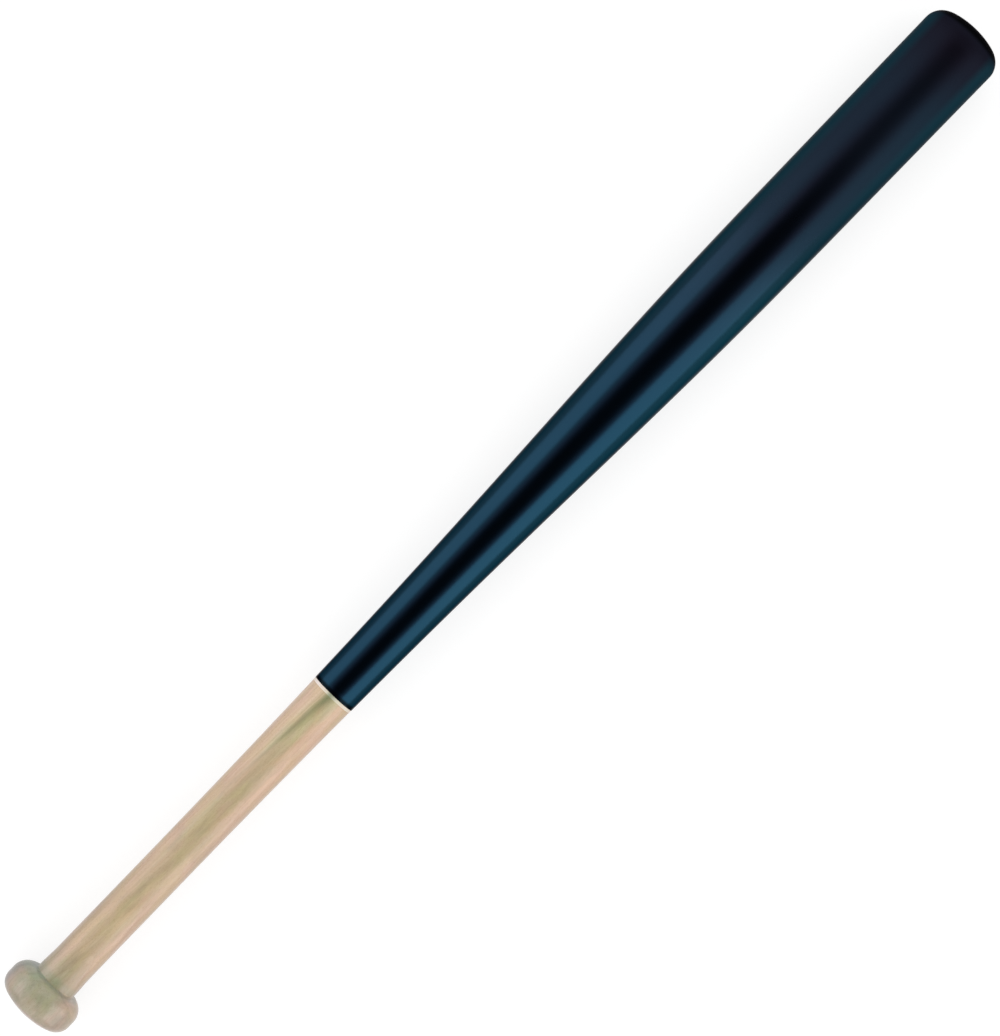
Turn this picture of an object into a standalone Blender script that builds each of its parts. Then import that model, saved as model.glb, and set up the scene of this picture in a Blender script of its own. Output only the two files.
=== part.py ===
"""A wooden baseball bat, turned from one piece, with a lacquered barrel and a varnished handle.

The bat is drawn as a turner's outline: it stands on its knob, its axis is local Z, and each station is a
height above the butt with the radius there. That one outline, and copies of it moved inwards, are turned
round the axis to give the wood and the coats over it: lacquer on the barrel, and varnish on the handle and
the knob. The finished bat lies on its side along X, with its knob towards -X, its barrel towards +X and its
lowest facet on Z = 0. Units are metres.
"""

import math

import bpy
from mathutils import Vector
from mathutils.geometry import interpolate_bezier

# Lengths along the bat.
GRIP_LENGTH = 0.0892
TAPER_LENGTH = 0.556
BARREL_LENGTH = 0.168
NECK_FLARE_LENGTH = 0.018
LACQUER_EDGE_HEIGHT = 0.2722
BARE_WOOD_LINE = 0.0014

# Diameters along the bat.
NECK_DIAMETER = 0.0293
GRIP_DIAMETER = 0.0282
SHOULDER_DIAMETER = 0.0531
BARREL_DIAMETER = 0.0544

# How far the taper runs on in the direction of the grip, and back in that of the barrel, before it bends.
TAPER_REACH_FROM_GRIP = 0.302
TAPER_REACH_FROM_BARREL = 0.174

# The knob: a domed butt, a rounded corner, a straight rim, and a shoulder that is one round down to the neck.
KNOB_DIAMETER = 0.0510
KNOB_RIM_WIDTH = 0.0043
BUTT_CORNER_RADIUS = 0.0090
BUTT_DOME_RADIUS = 0.0560
BUTT_FLAT_DIAMETER = 0.0120
CREASE_RADIUS = 0.0008

# The end of the barrel.
END_CORNER_RADIUS = 0.0120
END_DOME_RADIUS = 0.0600
END_FLAT_DIAMETER = 0.0120

# The coats, drawn thicker than the real films so that they hold as solids, and their clearance over the wood.
# The varnish has a break in it round the crease, where the knob's coat ends and the handle's begins.
COAT_THICKNESS = 0.0003
COAT_CLEARANCE = 0.0003
VARNISH_BREAK = 0.0003

# How finely the curves are divided.
SIDES = 36
TAPER_STEPS = 16
FLARE_STEPS = 4
CREASE_STEPS = 3
ROUND_STEPS = 6
DOME_STEPS = 3

# Colours as seen in plain light, as linear RGB, with roughness.
WOOD_COLOUR = (0.62, 0.45, 0.29, 1.0)
WOOD_ROUGHNESS = 0.45
VARNISH_COLOUR = (0.74, 0.58, 0.38, 1.0)
VARNISH_ROUGHNESS = 0.22
VARNISH_ALPHA = 0.3
LACQUER_COLOUR = (0.006, 0.010, 0.016, 1.0)
LACQUER_ROUGHNESS = 0.16


def domed_end(rim_radius, corner_radius, dome_radius, flat_radius):
    """The outline of a domed end, as depths below the end with their radii, from the axis out to the rim.

    A small flat in the middle passes into a shallow dome, and the dome into the rounded corner.
    """
    spread = rim_radius - corner_radius
    corner_start = math.asin(spread / (dome_radius - corner_radius))
    dome_start = math.asin(flat_radius / dome_radius)
    dome_centre = dome_radius * math.cos(dome_start)
    corner_centre = dome_centre - (dome_radius - corner_radius) * math.cos(corner_start)
    points = [(0.0, 0.0)]
    for step in range(DOME_STEPS):
        angle = dome_start + (corner_start - dome_start) * step / DOME_STEPS
        points.append((dome_centre - dome_radius * math.cos(angle), dome_radius * math.sin(angle)))
    for step in range(ROUND_STEPS + 1):
        angle = corner_start + (math.pi / 2 - corner_start) * step / ROUND_STEPS
        depth = corner_centre - corner_radius * math.cos(angle)
        points.append((depth, spread + corner_radius * math.sin(angle)))
    return points


def swelling(low, high, low_reach, high_reach, high_slope, steps):
    """A smooth line between two stations, as heights with radii, from the high station down to the low one.

    It leaves the low station along the axis, and arrives at the high one in the slope given there.
    """
    knots = (
        Vector(low),
        Vector((low[0] + low_reach, low[1])),
        Vector((high[0] - high_reach, high[1] - high_slope * high_reach)),
        Vector(high),
    )
    points = [tuple(point[:2]) for point in interpolate_bezier(*knots, steps + 1)]
    return points[::-1]


def knob_outline():
    """The knob's outer outline, as heights above the butt with their radii, from the neck down to the butt.

    The crease is a small fillet, which leaves the neck along the axis and turns square to it, into the round
    of the knob's shoulder.
    """
    neck_radius = NECK_DIAMETER / 2
    knob_radius = KNOB_DIAMETER / 2
    butt = domed_end(knob_radius, BUTT_CORNER_RADIUS, BUTT_DOME_RADIUS, BUTT_FLAT_DIAMETER / 2)
    round_radius = knob_radius - neck_radius - CREASE_RADIUS
    rim_top = butt[-1][0] + KNOB_RIM_WIDTH
    neck = rim_top + round_radius + CREASE_RADIUS

    outline = []
    for step in range(CREASE_STEPS + 1):
        angle = math.pi / 2 * step / CREASE_STEPS
        height = neck - CREASE_RADIUS * math.sin(angle)
        outline.append((height, neck_radius + CREASE_RADIUS * (1 - math.cos(angle))))
    for step in range(1, ROUND_STEPS + 1):
        angle = math.pi / 2 * step / ROUND_STEPS
        height = rim_top + round_radius * math.cos(angle)
        outline.append((height, knob_radius - round_radius * (1 - math.sin(angle))))
    return outline + butt[::-1]


def bat_outline(knob):
    """The whole outer outline, as heights above the butt with their radii, from the barrel's end down."""
    neck, neck_radius = knob[0]
    grip_radius = GRIP_DIAMETER / 2
    barrel_radius = BARREL_DIAMETER / 2
    shoulder_radius = SHOULDER_DIAMETER / 2
    taper_bottom = neck + GRIP_LENGTH
    taper_top = taper_bottom + TAPER_LENGTH
    length = taper_top + BARREL_LENGTH
    end = domed_end(barrel_radius, END_CORNER_RADIUS, END_DOME_RADIUS, END_FLAT_DIAMETER / 2)
    barrel_slope = (barrel_radius - shoulder_radius) / (BARREL_LENGTH - end[-1][0])

    outline = [(length - depth, radius) for depth, radius in end]
    outline += swelling(
        (taper_bottom, grip_radius),
        (taper_top, shoulder_radius),
        TAPER_REACH_FROM_GRIP,
        TAPER_REACH_FROM_BARREL,
        barrel_slope,
        TAPER_STEPS,
    )
    outline += swelling(
        (neck, neck_radius),
        (neck + NECK_FLARE_LENGTH, grip_radius),
        NECK_FLARE_LENGTH / 2,
        NECK_FLARE_LENGTH / 2,
        0.0,
        FLARE_STEPS,
    )
    return outline + knob[1:]


def moved_inwards(outline, distance):
    """The outline moved into the wood by a distance, with mitred corners and both ends still on the axis."""
    stations = [Vector(point) for point in outline]
    normals = []
    for above, below in zip(stations, stations[1:]):
        run = (below - above).normalized()
        normals.append(Vector((run.y, -run.x)))
    moved = []
    for index, station in enumerate(stations):
        before = normals[max(index - 1, 0)]
        after = normals[min(index, len(normals) - 1)]
        mitre = (before + after) / (1 + before.dot(after))
        moved.append(tuple(station - mitre * distance))
    return moved


def cut_station(outline, height):
    """The point where the outline passes a height, on its way down from the barrel's end."""
    for above, below in zip(outline, outline[1:]):
        if above[0] >= height > below[0]:
            share = (above[0] - height) / (above[0] - below[0])
            return (height, above[1] + (below[1] - above[1]) * share)


def upper_part(outline, height):
    """The outline's stations above a height, from the barrel's end down to the cut there."""
    return [point for point in outline if point[0] > height] + [cut_station(outline, height)]


def lower_part(outline, height):
    """The outline's stations below a height, from the cut there down to the butt."""
    return [cut_station(outline, height)] + [point for point in outline if point[0] < height]


def plain_material(name, colour, roughness, alpha=1.0):
    """A Principled material of one colour, see-through where its alpha is under 1."""
    material = bpy.data.materials.new(name)
    material.use_nodes = True
    shader = material.node_tree.nodes["Principled BSDF"]
    shader.inputs["Base Color"].default_value = colour
    shader.inputs["Roughness"].default_value = roughness
    shader.inputs["Metallic"].default_value = 0.0
    shader.inputs["Alpha"].default_value = alpha
    material.diffuse_color = colour
    return material


def turned(name, profile, material, axis):
    """One turned solid: the profile, drawn at +X of the axis, is swept round Z by a Screw modifier.

    A profile that keeps off the axis is closed into a loop, and gives a tube. The half step of rotation lays
    a flat facet, and not an edge, along the bottom of the bat.
    """
    mesh = bpy.data.meshes.new(name)
    stations = [(radius, 0.0, height) for height, radius in profile]
    edges = [(index, index + 1) for index in range(len(stations) - 1)]
    if profile[0][1] > 0:
        edges.append((len(stations) - 1, 0))
    mesh.from_pydata(stations, edges, [])
    mesh.materials.append(material)
    solid = bpy.data.objects.new(name, mesh)
    bpy.context.collection.objects.link(solid)
    solid.parent = axis
    solid.rotation_euler = (0.0, 0.0, math.pi / SIDES)
    screw = solid.modifiers.new("turn on the lathe", "SCREW")
    screw.axis = "Z"
    screw.angle = math.tau
    screw.steps = SIDES
    screw.render_steps = SIDES
    screw.use_merge_vertices = True
    screw.merge_threshold = 0.00001
    screw.use_smooth_shade = True
    return solid


def wood_body(outline, axis):
    """The whole bat in one turned piece of wood, under its coats."""
    profile = moved_inwards(outline, COAT_THICKNESS + COAT_CLEARANCE)
    material = plain_material("pale_turned_wood", WOOD_COLOUR, WOOD_ROUGHNESS)
    return turned("turned_wood_body", profile, material, axis)


def lacquer_coat(outline, axis):
    """The black lacquer: a skin over the taper, the barrel and its end, open towards the handle."""
    outside = upper_part(outline, LACQUER_EDGE_HEIGHT)
    inside = upper_part(moved_inwards(outline, COAT_THICKNESS), LACQUER_EDGE_HEIGHT)
    material = plain_material("blue_black_lacquer", LACQUER_COLOUR, LACQUER_ROUGHNESS)
    return turned("black_lacquer_coat", outside + inside[::-1], material, axis)


def handle_varnish(outline, neck, material, axis):
    """The clear varnish on the handle: a sleeve from the neck to a line of bare wood short of the lacquer."""
    top = LACQUER_EDGE_HEIGHT - BARE_WOOD_LINE
    outside = lower_part(upper_part(outline, neck), top)
    inside = lower_part(upper_part(moved_inwards(outline, COAT_THICKNESS), neck), top)
    return turned("handle_varnish_coat", outside + inside[::-1], material, axis)


def knob_varnish(outline, neck, material, axis):
    """The clear varnish on the knob: a cap over the butt, the rim and the shoulder, up into the crease."""
    top = neck - VARNISH_BREAK
    outside = lower_part(outline, top)
    inside = lower_part(moved_inwards(outline, COAT_THICKNESS), top)
    return turned("knob_varnish_coat", inside[::-1] + outside, material, axis)


def main():
    for leftover in list(bpy.data.objects):
        bpy.data.objects.remove(leftover, do_unlink=True)

    knob = knob_outline()
    neck = knob[0][0]
    outline = bat_outline(knob)
    length = outline[0][0]

    # The lathe's axis, laid along X, as high above the floor as the barrel's facets reach below it.
    axis = bpy.data.objects.new("bat_axis", None)
    bpy.context.collection.objects.link(axis)
    axis.location = (-length / 2, 0.0, BARREL_DIAMETER / 2 * math.cos(math.pi / SIDES))
    axis.rotation_euler = (0.0, math.pi / 2, 0.0)

    wood_body(outline, axis)
    lacquer_coat(outline, axis)
    varnish = plain_material("clear_satin_varnish", VARNISH_COLOUR, VARNISH_ROUGHNESS, VARNISH_ALPHA)
    handle_varnish(outline, neck, varnish, axis)
    knob_varnish(outline, neck, varnish, axis)
    bpy.context.view_layer.update()
    print(f"bat {length * 1000:.2f} mm long, axis {axis.location.z * 1000:.3f} mm above the floor")


main()
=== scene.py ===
# %% [markdown]
# A wooden baseball bat. The real one is a single length of pale wood, turned on a lathe, with a glossy
# blue-black lacquer on its taper and barrel and a clear satin varnish on its handle and knob. The measured
# solids of the bat come first, as a fixed frame. They are plain and have 36 flat sides, so this lesson turns
# two finer pieces round the same axis, the wood and the film of lacquer, and spends most of its time on how
# the two finishes look.

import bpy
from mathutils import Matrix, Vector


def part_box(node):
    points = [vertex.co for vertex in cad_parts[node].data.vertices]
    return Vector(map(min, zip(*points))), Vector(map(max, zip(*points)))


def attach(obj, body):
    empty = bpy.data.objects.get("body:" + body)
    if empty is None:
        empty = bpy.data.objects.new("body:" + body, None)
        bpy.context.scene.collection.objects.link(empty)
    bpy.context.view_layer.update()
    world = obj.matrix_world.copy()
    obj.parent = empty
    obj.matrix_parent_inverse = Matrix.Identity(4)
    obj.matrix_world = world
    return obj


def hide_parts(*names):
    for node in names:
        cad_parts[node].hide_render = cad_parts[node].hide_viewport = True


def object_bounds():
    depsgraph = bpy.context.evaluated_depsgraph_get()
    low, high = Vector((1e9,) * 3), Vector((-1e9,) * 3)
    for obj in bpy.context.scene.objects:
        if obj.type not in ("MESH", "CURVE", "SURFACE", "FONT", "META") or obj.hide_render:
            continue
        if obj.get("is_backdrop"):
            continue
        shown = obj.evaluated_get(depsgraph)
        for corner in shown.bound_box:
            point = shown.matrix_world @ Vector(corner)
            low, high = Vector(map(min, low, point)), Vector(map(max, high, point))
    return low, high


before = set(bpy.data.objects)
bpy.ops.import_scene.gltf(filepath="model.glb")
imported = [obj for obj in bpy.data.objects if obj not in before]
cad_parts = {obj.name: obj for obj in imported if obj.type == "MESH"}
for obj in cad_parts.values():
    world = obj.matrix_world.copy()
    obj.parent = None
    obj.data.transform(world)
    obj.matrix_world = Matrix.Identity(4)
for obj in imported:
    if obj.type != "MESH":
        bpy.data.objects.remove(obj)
cad_low, cad_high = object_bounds()
print("frame", sorted(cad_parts), "from", tuple(cad_low), "to", tuple(cad_high))

# %% [markdown]
# The frame gives every place along the bat, because each coat is a node of its own: where the knob's varnish
# ends, where the handle's varnish stops, where the lacquer begins, and both ends. Its round parts are drawn
# with 36 flat sides. A round piece that touches the middles of those flats is smaller than their corners by
# the cosine of half a side's angle, so every radius that isn't read from the frame is multiplied by that.
#
# The lacquer's edge lies a little above the solid's, because a sprayed coat draws back from the masking tape.

# %% Read the places and the sizes
import math
from types import SimpleNamespace

import bmesh
import bpy

knob_low, knob_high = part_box("knob_varnish_coat")
handle_low, handle_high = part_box("handle_varnish_coat")
lacquer_low, lacquer_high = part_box("black_lacquer_coat")

MM = 0.001
CAD_SIDES = 36
FLAT = math.cos(math.pi / CAD_SIDES)
DRAWN_BACK = 0.6 * MM
butt_x = knob_low.x
axis_z = (lacquer_low.z + lacquer_high.z) / 2

sizes = {
    "Length": lacquer_high.x - butt_x,
    "Neck Height": handle_low.x - butt_x,
    "Varnish Stop Height": handle_high.x - butt_x,
    "Lacquer Edge Height": lacquer_low.x - butt_x + DRAWN_BACK,
    "Knob Radius": (knob_high.y - knob_low.y) / 2,
    "Butt Corner Radius": 9.0 * MM,
    "Butt Dome Radius": 56.0 * MM,
    "Crease Radius": 0.8 * MM,
    "Neck Radius": 14.65 * MM * FLAT,
    "Neck Flare Length": 18.0 * MM,
    "Grip Radius": 14.1 * MM * FLAT,
    "Grip Length": 89.2 * MM,
    "Taper Length": 556.0 * MM,
    "Taper Reach From Grip": 302.0 * MM,
    "Taper Reach From Barrel": 174.0 * MM,
    "Shoulder Radius": 26.55 * MM * FLAT,
    "Barrel Radius": (lacquer_high.y - lacquer_low.y) / 2,
    "End Corner Radius": 12.0 * MM,
    "End Dome Radius": 60.0 * MM,
    "End Flat Radius": 6.0 * MM,
    "Film Thickness": 0.12 * MM,
}
for name, value in sizes.items():
    print(f"{name:24s}{value / MM:9.2f} mm")

# %% [markdown]
# Materials and Geometry Nodes are both node trees, and their sums are easier to read as Python than as
# boxes. `Wire` stands for one output of a node: adding or multiplying wires adds the Math nodes that do it.
# `Board` is the tree that the nodes are put on, with one method for any other kind of node. The same two
# classes serve for the shapes here and for the finishes further down.

# %% A small language for node trees


class Wire:
    """One output of a node. Arithmetic on it adds Math nodes to its board."""

    def __init__(self, board, socket):
        self.board = board
        self.socket = socket

    def other(self, name):
        """Another output of the same node."""
        return Wire(self.board, self.socket.node.outputs[name])

    def __add__(self, value):
        return self.board.maths("ADD", self, value)

    def __radd__(self, value):
        return self.board.maths("ADD", value, self)

    def __sub__(self, value):
        return self.board.maths("SUBTRACT", self, value)

    def __rsub__(self, value):
        return self.board.maths("SUBTRACT", value, self)

    def __mul__(self, value):
        return self.board.maths("MULTIPLY", self, value)

    def __truediv__(self, value):
        return self.board.maths("DIVIDE", self, value)

    def __neg__(self):
        return self.board.maths("MULTIPLY", self, -1.0)


class Board:
    """A node tree, and the ways of adding to it."""

    def __init__(self, tree):
        self.tree = tree

    def add(self, kind, settings=(), sockets=(), output=0):
        """A new node: settings first, then its sockets' values or wires. A list joins several wires."""
        node = self.tree.nodes.new(kind)
        for name, value in dict(settings).items():
            setattr(node, name, value)
        for name, value in dict(sockets).items():
            for one in value if isinstance(value, list) else [value]:
                if isinstance(one, Wire):
                    self.tree.links.new(one.socket, node.inputs[name])
                else:
                    node.inputs[name].default_value = one
        return Wire(self, node.outputs[output]) if len(node.outputs) else None

    def maths(self, operation, *values):
        return self.add("ShaderNodeMath", {"operation": operation}, enumerate(values))

    def vector(self, operation, *values):
        return self.add("ShaderNodeVectorMath", {"operation": operation}, enumerate(values))

    def point(self, x, y, z=0.0):
        return self.add("ShaderNodeCombineXYZ", (), {"X": x, "Y": y, "Z": z})

    def step(self, value, start, stop, low=0.0, high=1.0):
        """A smooth change from low to high while the value goes from start to stop."""
        sockets = {"Value": value, "From Min": start, "From Max": stop, "To Min": low, "To Max": high}
        return self.add("ShaderNodeMapRange", {"interpolation_type": "SMOOTHSTEP"}, sockets)

    def band(self, value, start, stop, fade):
        """One where the value lies between start and stop, and nought outside, with soft borders."""
        return self.step(value, start - fade, start + fade) * self.step(value, stop + fade, stop - fade)

    def blend(self, share, first, second, way="MIX"):
        """A colour that goes from the first to the second as the share goes from 0 to 1."""
        settings = {"data_type": "RGBA", "blend_type": way}
        return self.add("ShaderNodeMix", settings, {0: share, 6: first, 7: second}, output=2)

    def tint(self, colour, share, tint):
        """The colour with a tint multiplied in, as far as the share goes from 0 to 1."""
        return self.blend(share, colour, tint, "MULTIPLY")


print("helpers ready:", [name for name in vars(Board) if not name.startswith("_")])

# %% [markdown]
# A turner works from a drawing of the outline: how far from the axis the wood reaches at each height above
# the butt. Here it is a row of curves drawn by Geometry Nodes, with the height along X and the radius along
# Y. Two plain forms cover most of it, a straight line and a quarter of a circle. The long taper is one
# Bezier curve that leaves the grip along the axis, which gives the even swelling that a bat has.
#
# Both ends are shallow domes with a rounded corner. The same function draws them, from the axis outwards,
# and the barrel's end is a mirrored copy, reversed so that the whole outline runs one way.
#
# Each stretch has to start exactly where the one before it ends, or the turned piece has a slit there. So the
# round from the knob's rim to the crease is worked out from the two radii that it joins, and the straight rim
# takes up what is left.

# %% Draw the outline's parts
STEPS_ALONG = {
    "flat": 2,
    "dome": 24,
    "corner": 20,
    "rim": 4,
    "round": 28,
    "crease": 8,
    "flare": 12,
    "grip": 24,
    "taper": 110,
    "barrel": 40,
}


def line(board, start, end, steps):
    """A straight stretch of the outline, in equal steps."""
    drawn = board.add("GeometryNodeCurvePrimitiveLine", (), {"Start": start, "End": end})
    return board.add("GeometryNodeResampleCurve", (), {"Curve": drawn, "Count": steps + 1})


def arc(board, centre, radius, start, sweep, steps):
    """A round stretch of the outline about a centre. Its angles start from the direction of the barrel."""
    sockets = {"Resolution": steps + 1, "Radius": radius, "Start Angle": start, "Sweep Angle": sweep}
    drawn = board.add("GeometryNodeCurveArc", (), sockets)
    return board.add("GeometryNodeTransform", (), {"Geometry": drawn, "Translation": centre})


def swelling(board, start, end, start_reach, end_reach, end_slope, steps):
    """A Bezier stretch that leaves its start along the axis and arrives at its end in a given slope."""
    along_axis = board.vector("ADD", board.point(*start), board.point(start_reach, 0.0))
    slope_reach = board.point(end_reach, end_reach * end_slope)
    back_along_slope = board.vector("SUBTRACT", board.point(*end), slope_reach)
    sockets = {
        "Resolution": steps,
        "Start": board.point(*start),
        "Start Handle": along_axis,
        "End Handle": back_along_slope,
        "End": board.point(*end),
    }
    return board.add("GeometryNodeCurvePrimitiveBezierSegment", (), sockets)


def domed_end(board, rim_radius, corner_radius, dome_radius, flat_radius):
    """The outline of a domed end, from the axis out to the rim, and how deep the end is."""
    spread = rim_radius - corner_radius
    corner_start = board.maths("ARCSINE", spread / (dome_radius - corner_radius))
    dome_start = board.maths("ARCSINE", flat_radius / dome_radius)
    dome_centre = dome_radius * board.maths("COSINE", dome_start)
    depth = dome_centre - (dome_radius - corner_radius) * board.maths("COSINE", corner_start)
    flat = line(board, board.point(0.0, 0.0), board.point(0.0, flat_radius), STEPS_ALONG["flat"])
    dome_angles = (math.pi - dome_start, dome_start - corner_start)
    dome = arc(board, board.point(dome_centre, 0.0), dome_radius, *dome_angles, STEPS_ALONG["dome"])
    corner_angles = (math.pi - corner_start, corner_start - math.pi / 2)
    corner = arc(board, board.point(depth, spread), corner_radius, *corner_angles, STEPS_ALONG["corner"])
    return [flat, dome, corner], depth


print("steps along each stretch of the outline:", STEPS_ALONG)

# %% [markdown]
# The whole outline is cut in two at the lacquer's edge, because the wood needs both halves and the lacquer
# only the upper one. The edge lies on the taper, which is nearly parallel to the axis there, so a length
# along the curve is a height along the bat to within a few hundredths of a millimetre.

# %% Draw the whole outline


def bat_outline(board, size):
    """The outline's curves below the lacquer's edge and above it, all running towards the barrel's end."""
    knob, neck, grip = size["Knob Radius"], size["Neck Radius"], size["Grip Radius"]
    neck_height, crease = size["Neck Height"], size["Crease Radius"]
    butt_sizes = (size["Butt Corner Radius"], size["Butt Dome Radius"], size["End Flat Radius"])
    butt, butt_depth = domed_end(board, knob, *butt_sizes)
    round_radius = knob - neck - crease
    rim_top = neck_height - crease - round_radius
    rim = line(board, board.point(butt_depth, knob), board.point(rim_top, knob), STEPS_ALONG["rim"])
    round_centre = board.point(rim_top, knob - round_radius)
    round_over = arc(board, round_centre, round_radius, math.pi / 2, -math.pi / 2, STEPS_ALONG["round"])
    crease_centre = board.point(neck_height, neck + crease)
    fillet = arc(board, crease_centre, crease, math.pi, math.pi / 2, STEPS_ALONG["crease"])

    flare_top = neck_height + size["Neck Flare Length"]
    half_flare = size["Neck Flare Length"] / 2
    flare_ends = ((neck_height, neck), (flare_top, grip))
    flare = swelling(board, *flare_ends, half_flare, half_flare, 0.0, STEPS_ALONG["flare"])
    taper_start = neck_height + size["Grip Length"]
    grip_ends = (board.point(flare_top, grip), board.point(taper_start, grip))
    straight = line(board, *grip_ends, STEPS_ALONG["grip"])

    end_sizes = (size["End Corner Radius"], size["End Dome Radius"], size["End Flat Radius"])
    end, end_depth = domed_end(board, size["Barrel Radius"], *end_sizes)
    taper_end = taper_start + size["Taper Length"]
    barrel_top = size["Length"] - end_depth
    shoulder_radius, barrel_radius = size["Shoulder Radius"], size["Barrel Radius"]
    slope = (barrel_radius - shoulder_radius) / (barrel_top - taper_end)
    taper = swelling(
        board,
        (taper_start, grip),
        (taper_end, shoulder_radius),
        size["Taper Reach From Grip"],
        size["Taper Reach From Barrel"],
        slope,
        STEPS_ALONG["taper"],
    )
    edge = size["Lacquer Edge Height"] - taper_start
    lower_taper = board.add("GeometryNodeTrimCurve", {"mode": "LENGTH"}, {"Curve": taper, 4: 0.0, 5: edge})
    whole = board.add("GeometryNodeCurveLength", (), {"Curve": taper})
    upper_taper = board.add("GeometryNodeTrimCurve", {"mode": "LENGTH"}, {"Curve": taper, 4: edge, 5: whole})
    barrel_ends = (board.point(taper_end, shoulder_radius), board.point(barrel_top, barrel_radius))
    barrel = line(board, *barrel_ends, STEPS_ALONG["barrel"])
    at_far_end = {
        "Geometry": board.add("GeometryNodeJoinGeometry", (), {"Geometry": end}),
        "Scale": (-1.0, 1.0, 1.0),
        "Translation": board.point(size["Length"], 0.0),
    }
    mirrored = board.add("GeometryNodeTransform", (), at_far_end)
    barrel_end = board.add("GeometryNodeReverseCurve", (), {"Curve": mirrored})
    below = [*butt, rim, round_over, fillet, flare, straight, lower_taper]
    return below, [upper_taper, barrel, barrel_end]


print("the outline is cut at", round(sizes["Lacquer Edge Height"] / MM, 1), "mm above the butt")

# %% [markdown]
# Turning is one node: Curve to Mesh sweeps the outline round a small circle, the spindle. The outline is
# moved in by the spindle's radius, so what lies on the axis stays on it. Merge by Distance then welds the
# stretches to each other and closes both poles. Each piece is laid along X at the frame's height inside its
# tree, so that its object can stay at the origin, where patterns on Object coordinates hold still.
#
# The other way would be a Screw modifier on a drawn profile. Nodes are used here because the sizes stay
# named inputs of the modifier, and the wood and the lacquer share every one of them.

# %% Turn an outline into a mesh
STEPS_ROUND = 128
SPINDLE = 1.0 * MM
WELD = 0.005 * MM


def turned(board, outline, inset):
    """The outline's curves turned round the bat's axis, moved inwards by the inset, and laid along X."""
    joined = board.add("GeometryNodeJoinGeometry", (), {"Geometry": outline})
    upright = (0.0, 0.0, -math.pi / 2)
    on_spindle = {"Geometry": joined, "Rotation": upright, "Translation": (-SPINDLE, 0.0, 0.0)}
    profile = board.add("GeometryNodeTransform", (), on_spindle)
    circle = {"Resolution": STEPS_ROUND, "Radius": SPINDLE}
    spindle = board.add("GeometryNodeCurvePrimitiveCircle", (), circle)
    swept = board.add("GeometryNodeCurveToMesh", (), {"Curve": spindle, "Profile Curve": profile})
    welded = board.add("GeometryNodeMergeByDistance", (), {"Geometry": swept, "Distance": WELD})
    outwards = board.add("GeometryNodeFlipFaces", (), {"Mesh": welded})
    normal = board.add("GeometryNodeInputNormal")
    scaled = {0: normal, "Scale": -inset}
    inwards = board.add("ShaderNodeVectorMath", {"operation": "SCALE"}, scaled)
    moved = board.add("GeometryNodeSetPosition", (), {"Geometry": outwards, "Offset": inwards})
    level = (0.0, math.pi / 2, 0.0)
    laid = {"Geometry": moved, "Rotation": level, "Translation": (butt_x, 0.0, axis_z)}
    return board.add("GeometryNodeTransform", (), laid)


def lathe(name, choose):
    """A node group with every size as a named input. The choice gives the curves to turn and their inset."""
    tree = bpy.data.node_groups.new(name, "GeometryNodeTree")
    for size_name in sizes:
        tree.interface.new_socket(name=size_name, in_out="INPUT", socket_type="NodeSocketFloat")
    tree.interface.new_socket(name="Finish", in_out="INPUT", socket_type="NodeSocketMaterial")
    tree.interface.new_socket(name="Piece", in_out="OUTPUT", socket_type="NodeSocketGeometry")
    board = Board(tree)
    given = board.add("NodeGroupInput")
    size = {size_name: given.other(size_name) for size_name in sizes}
    outline, inset = choose(*bat_outline(board, size), size)
    shape = board.add("GeometryNodeSetShadeSmooth", (), {"Geometry": turned(board, outline, inset)})
    with_finish = {"Geometry": shape, "Material": given.other("Finish")}
    finished = board.add("GeometryNodeSetMaterial", (), with_finish)
    real = board.add("GeometryNodeRealizeInstances", (), {"Geometry": finished})
    board.add("NodeGroupOutput", (), {0: real})
    return tree


def turned_piece(name, tree, finish):
    """A plain mesh, turned by a group with the bat's sizes and one finish."""
    piece = bpy.data.objects.new(name, bpy.data.meshes.new(name))
    bpy.context.scene.collection.objects.link(piece)
    modifier = piece.modifiers.new("lathe", "NODES")
    modifier.node_group = tree
    for item in tree.interface.items_tree:
        if item.in_out == "INPUT":
            modifier[item.identifier] = sizes.get(item.name, finish)
    seen = piece.evaluated_get(bpy.context.evaluated_depsgraph_get())
    piece.data = bpy.data.meshes.new_from_object(seen)
    piece.modifiers.remove(modifier)
    return piece


wood_lathe = lathe("turn the wood", lambda below, above, size: ([*below, *above], size["Film Thickness"]))
film_lathe = lathe("turn the lacquer", lambda below, above, size: (above, 0.0))
print(len(wood_lathe.nodes), "nodes turn the wood and", len(film_lathe.nodes), "the lacquer")

# %% [markdown]
# Both finishes are solid textures: they read the point's own place on the bat, so a growth ring that leaves
# the surface on one side comes back on the other, as in a real block of wood. The place is taken as the
# height above the butt, and as two distances from the axis, one sideways and one upwards.

# %% Find a point's place on the bat
CLOUD_ROUGHNESS = 0.55


def new_finish(name):
    """An empty material, and the board to draw it on."""
    material = bpy.data.materials.new(name)
    material.use_nodes = True
    material.node_tree.nodes.clear()
    return material, Board(material.node_tree)


def place_on_bat(board):
    """The height above the butt, the distance sideways from the axis, and the distance above it."""
    place = board.add("ShaderNodeTexCoord", output="Object")
    split = board.add("ShaderNodeSeparateXYZ", (), {"Vector": place})
    return split - butt_x, split.other("Y"), split.other("Z") - axis_z


def from_axis(board, place):
    """How far a place is from the bat's axis."""
    _, side, up = place
    return board.maths("SQRT", side * side + up * up)


def cloud(board, place, waves, detail=2.0, shift=None):
    """Soft noise, mostly near a half. Its waves to the metre are given along the bat and across it."""
    height, first, second = place
    along, across = waves
    spot = board.point(height * along, first * across, second * across)
    if shift:
        spot = board.vector("ADD", spot, shift)
    sockets = {"Vector": spot, "Scale": 1.0, "Detail": detail, "Roughness": CLOUD_ROUGHNESS}
    return board.add("ShaderNodeTexNoise", (), sockets)


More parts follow.
